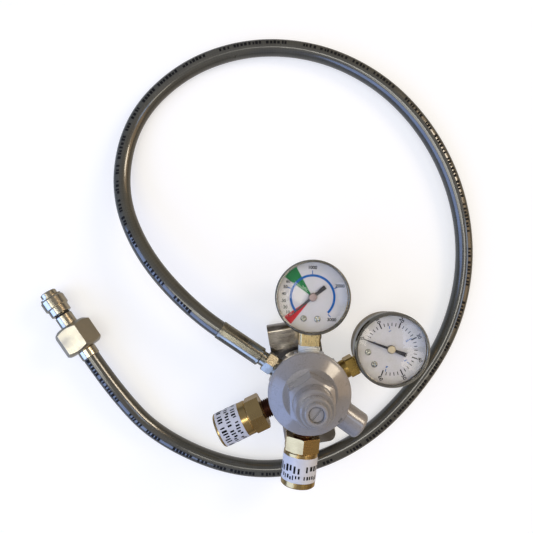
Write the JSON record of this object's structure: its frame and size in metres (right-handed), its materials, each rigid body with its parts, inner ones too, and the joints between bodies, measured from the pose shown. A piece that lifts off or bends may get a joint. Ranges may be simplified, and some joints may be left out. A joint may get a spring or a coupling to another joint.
{
  "type": "gas cylinder regulator with hose",
  "caption": "Round-bodied gas cylinder regulator with dial gauges, self-closing outlet valves, a hanging bracket and a stiff looped inlet hose ending in a swivel nut and probe.",
  "frame": {"origin": "where the adjusting axis meets the back face of the bracket", "axes": "+Z out through the adjusting screw, away from the bracket; +Y towards the tank gauge's side; +X completes a right-handed frame"},
  "size_m": [0.3406, 0.3485, 0.104],
  "materials": {
    "grey_paint": "smooth semi-gloss grey paint",
    "brass": "machined, slightly tarnished",
    "steel": "turned steel",
    "polished_steel": "polished strip",
    "plated_steel": "bright nickel plate",
    "gauge_case": "dark lacquered case",
    "dial": "white printed dial",
    "pointer": "black enamel",
    "lens": "clear crowned lens",
    "label": "white paper label",
    "tape": "white thread tape",
    "white_plastic": "nylon",
    "rubber": "moulded rubber",
    "hose_cover": "smooth dark grey thermoplastic cover"
  },
  "bodies": {
    "regulator": {"back_plug": "brass", "bonnet": "grey_paint", "bracket_screws": "steel", "diaphragm": "rubber", "end_ferrule": "plated_steel", "end_nipple": "plated_steel", "hose": "hose_cover", "hose_adapter": "plated_steel", "hose_ferrule": "plated_steel", "left_valve_body": "brass", "left_valve_label": "label", "left_valve_retainer": "brass", "left_valve_spring": "steel", "lower_valve_body": "brass", "lower_valve_label": "label", "lower_valve_retainer": "brass", "lower_valve_spring": "steel", "mounting_bracket": "polished_steel", "outlet_gauge_bezel": "plated_steel", "outlet_gauge_bourdon_tube": "brass", "outlet_gauge_case": "gauge_case", "outlet_gauge_dial": "dial", "outlet_gauge_dial_screws": "brass", "outlet_gauge_lens": "lens", "outlet_gauge_movement": "brass", "outlet_gauge_socket": "brass", "poppet_spring": "steel", "probe_body": "plated_steel", "probe_oring": "rubber", "probe_spring": "steel", "range_spring": "steel", "regulator_body": "grey_paint", "relief_cap": "grey_paint", "relief_spring": "steel", "tank_gauge_bezel": "plated_steel", "tank_gauge_bourdon_tube": "brass", "tank_gauge_case": "gauge_case", "tank_gauge_dial": "dial", "tank_gauge_dial_screws": "brass", "tank_gauge_lens": "lens", "tank_gauge_movement": "brass", "tank_gauge_socket": "brass", "thread_tape": "tape", "valve_nozzle": "brass"},
    "valve_train": {"inlet_poppet": "brass", "seat_disc": "white_plastic", "push_pin": "steel", "diaphragm_plate": "brass"},
    "button": {"spring_button": "steel"},
    "screw": {"adjusting_screw": "steel"},
    "tank_needle": {"tank_gauge_pointer": "pointer"},
    "outlet_needle": {"outlet_gauge_pointer": "pointer"},
    "left_poppet": {"left_valve_poppet": "brass"},
    "lower_poppet": {"lower_valve_poppet": "brass"},
    "relief": {"relief_poppet": "brass"},
    "probe_pin": {"probe_poppet": "brass"},
    "swivel_nut": {"end_nut": "plated_steel"}
  },
  "joints": [
    {"name": "diaphragm_travel", "type": "slide", "parent": "regulator", "child": "valve_train", "axis": [0, 0, 1], "range_m": [-0.0008, 0], "stiffness_N_per_m": 2000, "springref_m": 0.003, "deforming": ["poppet_spring"]},
    {"name": "button_travel", "type": "slide", "parent": "regulator", "child": "button", "axis": [0, 0, 1], "range_m": [-0.00375, 0], "deforming": ["range_spring"]},
    {"name": "screw_turn", "type": "hinge", "parent": "button", "child": "screw", "pos_m": [0, 0, 0.09], "axis": [0, 0, 1], "range_deg": [-900, 0]},
    {"name": "tank_needle_turn", "type": "hinge", "parent": "regulator", "child": "tank_needle", "pos_m": [0.0024, 0.06886, 0.048], "axis": [0, 0, 1], "range_deg": [-268, 0], "stiffness_Nm_per_rad": 0.0005, "springref_deg": 17.19},
    {"name": "outlet_needle_turn", "type": "hinge", "parent": "regulator", "child": "outlet_needle", "pos_m": [0.05869, 0.03147, 0.048], "axis": [0, 0, 1], "range_deg": [-270, 0], "stiffness_Nm_per_rad": 0.0005, "springref_deg": 17.19},
    {"name": "left_valve_travel", "type": "slide", "parent": "regulator", "child": "left_poppet", "axis": [-0.9026, -0.4305, 0], "range_m": [0, 0.002], "stiffness_N_per_m": 500, "springref_m": -0.004, "deforming": ["left_valve_spring"]},
    {"name": "lower_valve_travel", "type": "slide", "parent": "regulator", "child": "lower_poppet", "axis": [-0.108, -0.9942, 0], "range_m": [0, 0.002], "stiffness_N_per_m": 500, "springref_m": -0.004, "deforming": ["lower_valve_spring"]},
    {"name": "relief_travel", "type": "slide", "parent": "regulator", "child": "relief", "axis": [0.8121, -0.5835, 0], "range_m": [0, 0.0015], "stiffness_N_per_m": 500, "springref_m": -0.004, "deforming": ["relief_spring"]},
    {"name": "probe_valve_travel", "type": "slide", "parent": "regulator", "child": "probe_pin", "axis": [0.5664, -0.8241, 0], "range_m": [0, 0.003], "stiffness_N_per_m": 300, "springref_m": -0.004, "deforming": ["probe_spring"]},
    {"name": "swivel_nut_turn", "type": "hinge", "parent": "regulator", "child": "swivel_nut", "pos_m": [-0.17849, 0.03571, 0.0135], "axis": [-0.5664, 0.8241, 0], "continuous": true}
  ],
  "couplings": [
    {"joint": "screw_turn", "follows": "button_travel", "rad_per_m": 4188.8}
  ]
}
